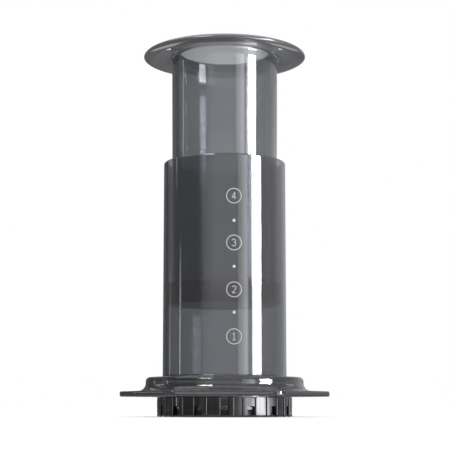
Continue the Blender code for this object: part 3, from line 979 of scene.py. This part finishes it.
# %% [markdown]
# ## Rubber, black plastic, paper and ink
#
# The seal's rubber is dark and lets little light through, with a fine grain that keeps it from shining.
#
# The cap's mould is polished only for the outside of its wall, with fine scuffs where it is gripped, and
# what lies inside is matt. One material does both: the polish grows with the distance from the axis,
# through the wall, and both the roughness and the coat follow it. Two materials would need a border
# somewhere on one moulding.
#
# The paper is pressed fibre: two noises, one long and one short, stand for the fibres and the crepe. The
# ink is a flat white film with a faint speckle.

# %% Make the rubber
rubber, flow = new_finish("smoky_rubber")
grain = object_noise(flow, 900.0, detail=3.0)
shader = flow.node(
    "ShaderNodeBsdfPrincipled",
    Base_Color=(0.06, 0.062, 0.067, 1),
    Roughness=0.3 + 0.15 * grain,
    IOR=1.4,
    Transmission_Weight=0.85,
    Normal=uneven(flow, grain, strength=0.3, depth=0.02 * MM),
)
finish_with(flow, shader, flow.node("ShaderNodeVolumeAbsorption", Color=(0.0, 0.01, 0.02, 1), Density=220.0))
seal.data.materials.append(rubber)

# %% Make the black plastic
black, flow = new_finish("black_plastic")
scuffs = object_noise(flow, 220.0, detail=5.0, stretch=(1, 1, 0.3))
grain = object_noise(flow, 2200.0, detail=2.0)
MATT_TO = CAP_INNER_RADIUS + 0.1 * MM
POLISHED_FROM = GROOVE_RADIUS - 0.4 * MM
polish = flow.node("ShaderNodeMapRange", i0=distance_from_axis(flow), i1=MATT_TO, i2=POLISHED_FROM)
shader = flow.node(
    "ShaderNodeBsdfPrincipled",
    Base_Color=(0.011, 0.011, 0.012, 1),
    Roughness=0.06 + 0.08 * scuffs + 0.5 * (1.0 - polish),
    Coat_Weight=polish,
    Coat_Roughness=0.03,
    Coat_IOR=PLASTIC_IOR,
    Normal=uneven(flow, grain, strength=0.15, depth=0.01 * MM),
)
finish_with(flow, shader)
for piece in (cap_wall, cap_floor, ledges):
    piece.data.materials.append(black)

# %% Make the paper's finish
fibre_paper, flow = new_finish("filter_paper")
long_fibres = object_noise(flow, 700.0, detail=4.0, stretch=(1, 0.25, 1))
short_fibres = object_noise(flow, 1600.0, detail=3.0)
tone = two_tones(flow, long_fibres, (0.80, 0.78, 0.73, 1), (0.90, 0.89, 0.85, 1))
shader = flow.node(
    "ShaderNodeBsdfPrincipled",
    Base_Color=tone,
    Roughness=0.92,
    Normal=uneven(flow, long_fibres + short_fibres, strength=0.6, depth=0.08 * MM),
)
finish_with(flow, shader)
paper.data.materials.append(fibre_paper)

# %% Make the ink
ink, flow = new_finish("white_ink")
speckle = object_noise(flow, 1500.0, detail=2.0)
tone = two_tones(flow, speckle, (0.80, 0.81, 0.82, 1), (0.90, 0.90, 0.90, 1))
finish_with(flow, flow.node("ShaderNodeBsdfPrincipled", Base_Color=tone, Roughness=0.45))
for piece in ink_pieces:
    piece.data.materials.append(ink)

# %% [markdown]
# ## The studio
#
# Glossy plastic is lit by what it reflects, so the studio is read off the reflections in the photograph. A
# tall bright softbox on the right makes the white strip, and a dimmer panel beside it the soft band next to
# the strip. A pale reflector in front makes the even grey of the middle. A dark room on the left makes the
# dark edge, and narrow gaps in it make the thin lines there. Right at the back the room is a middling grey,
# which keeps the right edge from glaring.
#
# Area lamps could stand there, but each would be one even rectangle. Here each is a curved card round the
# press, a part of a cylinder between two compass angles, counted from the camera to the right, and its glow
# is drawn along and up as a chart is. The cards show only in reflections and, where asked, through the
# plastic. Diffuse light doesn't see them, so they add no light to the object, and the world gives the plain
# light.

# %% Glowing cards
card_glow, flow = new_finish("card_glow")
glow = flow.node("ShaderNodeAttribute", {"attribute_name": "glow"}, output=2)
finish_with(flow, flow.node("ShaderNodeEmission", Color=(0.97, 0.98, 1.02, 1), Strength=glow))


def show_card(name, points, glows, through):
    """A card seen by reflections, and through the plastic where asked, that glows as each point says."""
    mesh = bpy.data.meshes.new(name)
    faces = grid_faces(numbered(points), False, False)
    mesh.from_pydata(points.reshape(-1, 3).tolist(), [], faces.tolist())
    mesh.attributes.new("glow", "FLOAT", "POINT").data.foreach_set("value", np.ravel(glows))
    mesh.materials.append(card_glow)
    made = bpy.data.objects.new(name, mesh)
    bpy.context.scene.collection.objects.link(made)
    made.visible_camera = False
    made.visible_diffuse = False
    made.visible_shadow = False
    made.visible_transmission = through
    print(f"{name}: glow {glows.min():.2f} to {glows.max():.2f}")


# %% A curved card
CARD_COLUMNS = 97
CARD_ROWS = 33


def card(name, across, upward, distance, through=True):
    """Part of a cylinder round the press, seen only by reflections and through the plastic.

    across is pairs of (angle from the camera to the right in degrees, brightness) and upward is pairs of
    (height in metres, share), both joined by straight lines; a point glows with their product.
    """
    across, upward = np.array(across, float), np.array(upward, float)
    angles = np.linspace(across[0, 0], across[-1, 0], CARD_COLUMNS)
    heights = np.linspace(upward[0, 0], upward[-1, 0], CARD_ROWS)
    glows = np.interp(heights, *upward.T)[:, None] * np.interp(angles, *across.T)
    points = around(distance, np.radians(angles - 90)[None], heights[:, None])
    show_card(name, points, glows, through)


# %% [markdown]
# The softbox's lower part is a card of its own and less bright, because the tube's back wall mirrors it
# once more.

# %% The softbox and the panel beside it
card("softbox", [(51.3, 12), (54.5, 45), (67.5, 45), (71.2, 12)], [(0.15, 1), (0.48, 1)], 0.95)
card("low_softbox", [(51.3, 10), (54.5, 12), (67.5, 12), (71.2, 10)], [(0.015, 1), (0.15, 1)], 0.95)
card("side_panel", [(24, 1.4), (31, 2), (40, 3.5), (42, 3), (45, 1)], [(0.015, 1), (0.48, 1)], 0.96)
card("high_softbox", [(-45, 12), (-22, 12)], [(0.8, 1), (1.5, 1)], 1.0)

# %% The reflector in front
front_across = [(-36, 0.6), (-20, 1), (18, 1), (24, 0.8)]
front_upward = [
    *[(0.015, 0.35), (0.028, 0.35), (0.036, 0.95), (0.05, 0.72)],
    *[(0.13, 0.7), (0.16, 1), (0.32, 1), (0.335, 0.7), (0.6, 0.7)],
]
card("front", front_across, front_upward, 1.0)
card("low_front", [(-5, 1.5), (5, 1.5)], [(0.015, 1), (0.034, 1)], 0.98)

# %% [markdown]
# The cap is so low that its wall mirrors only what stands within a hand's breadth of the table. Low cards
# serve it alone: they brighten towards the softbox and fade out on both sides, as the ribs do in the
# photograph.

# %% Low cards for the cap
low_round = [
    *[(-36, 0.2), (10, 0.25), (20, 0.7), (27, 1.6), (35, 3), (42, 4)],
    *[(47, 5.8), (51.5, 8), (56, 11), (69, 10), (75, 5)],
]
card("low_round", low_round + [(84, 4.2), (92, 1.2), (97, 0.5)], [(0, 1), (0.015, 1)], 0.94)
card("low_side", [(-103, 0.5), (-46, 0.5)], [(0.02, 1), (0.045, 1)], 1.1, through=False)

# %% The dark room on the left
WHOLE_HEIGHT = [(-0.2, 1), (1.5, 1)]
dark_side = [
    *[(-150, 0.08), (-135, 0.08), (-128, 0.12), (-113, 0.16)],
    *[(-106, 0.18), (-103, 0.14), (-46, 0.14), (-36, 0.6)],
]
card("dark_side", dark_side, WHOLE_HEIGHT, 1.2)
card("dark_back", [(-176, 0.08), (-150, 0.1)], WHOLE_HEIGHT, 1.2, through=False)

# %% The grey room on the right
low_right = [(71.2, 0.6), (90, 0.62), (110, 0.65), (150, 0.5), (176, 0.35)]
high_right = [(71.2, 0.6), (90, 0.55), (120, 0.38), (140, 0.35), (160, 0.4), (176, 0.35)]
shade_upward = [
    *[(0, 0.28), (0.018, 0.3), (0.026, 0.45), (0.032, 0.6), (0.04, 0.6)],
    *[(0.06, 0.5), (0.15, 0.5), (0.25, 0.55), (0.35, 0.6), (0.45, 0.45)],
]
card("low_right_room", low_right, [(0, 0.4), (0.035, 0.4), (0.06, 1), (0.375, 1)], 1.2, through=False)
card("high_right_room", high_right, [(0.375, 1), (1.5, 1)], 1.2, through=False)
card("right_shade", [(95, 1), (150, 1)], shade_upward, 1.15)

# %% What is high at the back, and the gaps in the dark room
card("high_back", [(150, 0.45), (210, 0.45)], [(0.52, 1), (1.5, 1)], 1.2, through=False)
card("low_gap", [(-91, 2.5), (-88.5, 2.5)], [(0, 1), (0.16, 1), (0.24, 0)], 1.1)
card("high_gap", [(-102.7, 1.5), (-100, 1.5)], [(0.28, 0), (0.34, 1), (0.6, 1)], 1.1)
card("back_gap", [(-122, 1.2), (-119.5, 1.2)], [(0.03, 0), (0.035, 1), (0.07, 1), (0.2, 0.2)], 1.1)

# %% [markdown]
# The undersides of both flanges mirror the table, and their crowns mirror the ceiling. The floor stays pale
# for the camera and the shadow, and cloths over it, seen by reflections alone, carry on the low cards'
# light and dark.

# %% Cloths on the table, and the ceiling
CLOTH_COLUMNS = 181
CLOTH_HEIGHT = 0.5 * MM
CEILING_HEIGHT = 1.5


def cloth(name, inner, outer, across, height=CLOTH_HEIGHT):
    """A level part of a ring between two distances, for reflections, its glow given as for a card."""
    across = np.array(across, float)
    angles = np.linspace(across[0, 0], across[-1, 0], CLOTH_COLUMNS)
    points = around(np.array([inner, outer])[:, None], np.radians(angles - 90), height)
    glows = np.tile(np.interp(angles, *across.T), 2)
    show_card(name, points, glows, through=False)


table = [(-150, 0.1), (-46, 0.1)] + low_round + [(84, 2), (92, 0.8), (97, 0.4), (150, 0.4)]
cloth("near_cloth", 0.0365, 0.12, [(-180, 0.2), (-60, 0.2), (-35, 0.7), (35, 0.7), (60, 0.2), (180, 0.2)])
cloth("front_cloth", 0.12, 0.94, table)
cloth("back_cloth", 0.4, 1.4, [(150, 0.12), (210, 0.12)])
cloth("overhead", 0.001, 0.9, [(0, 1.15), (360, 1.15)], CEILING_HEIGHT)
cloth("ceiling", 0.9, 2.4, [(-90, 0.6), (90, 0.6), (130, 1.1), (230, 1.1), (270, 0.6)], CEILING_HEIGHT)

# %% [markdown]
# ## The white background
#
# The world lights the press at a plain level, a little under white, from all sides. The photograph's
# background is pure white, and so it is for the rays that see it: from the camera, by reflection and
# through the plastic. A brighter world would make it white as well, but it would also wash out the press.
# The floor is a pale matt table with the same lift, which leaves the press's shadow on it.

# %% Rays that see the background
def sees_background(flow):
    """1 for a ray from the camera, a reflection or a ray through the plastic, and 0 for plain light."""
    kinds = ("Is Camera Ray", "Is Glossy Ray", "Is Transmission Ray")
    direct, mirrored, through = (flow.node("ShaderNodeLightPath", output=kind) for kind in kinds)
    return direct.highest(mirrored).highest(through)


# %% World
ROOM_LEVEL = 0.75
world = bpy.data.worlds.new("studio")
bpy.context.scene.world = world
world.use_nodes = True
world.node_tree.nodes.clear()
flow = Flow(world.node_tree)
level = ROOM_LEVEL + (1 - ROOM_LEVEL) * sees_background(flow)
background = flow.node("ShaderNodeBackground", Color=(1, 1, 1, 1), Strength=level)
flow.node("ShaderNodeOutputWorld", Surface=background)

# %% Floor
FLOOR_HALF = 4.0
FLOOR_LIFT = 0.45
floor_corners = np.array([(-1, -1, 0), (1, -1, 0), (1, 1, 0), (-1, 1, 0)]) * FLOOR_HALF
floor_mesh = bpy.data.meshes.new("floor")
floor_mesh.from_pydata(floor_corners.tolist(), [], [(0, 1, 2, 3)])
floor = bpy.data.objects.new("floor", floor_mesh)
bpy.context.scene.collection.objects.link(floor)
pale, flow = new_finish("pale_floor")
lift = flow.node("ShaderNodeEmission", Color=(1, 1, 1, 1), Strength=FLOOR_LIFT * sees_background(flow))
matt = flow.node("ShaderNodeBsdfDiffuse", Color=(0.88, 0.88, 0.88, 1))
finish_with(flow, flow.node("ShaderNodeAddShader", i0=matt, i1=lift))
floor_mesh.materials.append(pale)

# %% [markdown]
# ## The camera
#
# The photograph was taken with a long lens from just above the table, looking up a little. The lens, the
# place and the tilt below come from fitting the press's outlines to it: the ovals of the flanges give the
# height, and how much the top of the tube narrows gives the distance.

# %% Camera
CAMERA_LENS = 105.73
CAMERA_PLACE = (0.0002, -0.691745, 0.0056)
CAMERA_TILT = 0.136
camera_data = bpy.data.cameras.new("camera")
camera_data.lens = CAMERA_LENS
camera_data.sensor_width = 36
camera = bpy.data.objects.new("camera", camera_data)
bpy.context.scene.collection.objects.link(camera)
camera.location = CAMERA_PLACE
camera.rotation_euler = (math.pi / 2 + CAMERA_TILT, 0, 0)
bpy.context.scene.camera = camera
bpy.context.scene.view_settings.view_transform = "Standard"
print("the camera looks up", round(math.degrees(CAMERA_TILT), 1), "degrees")
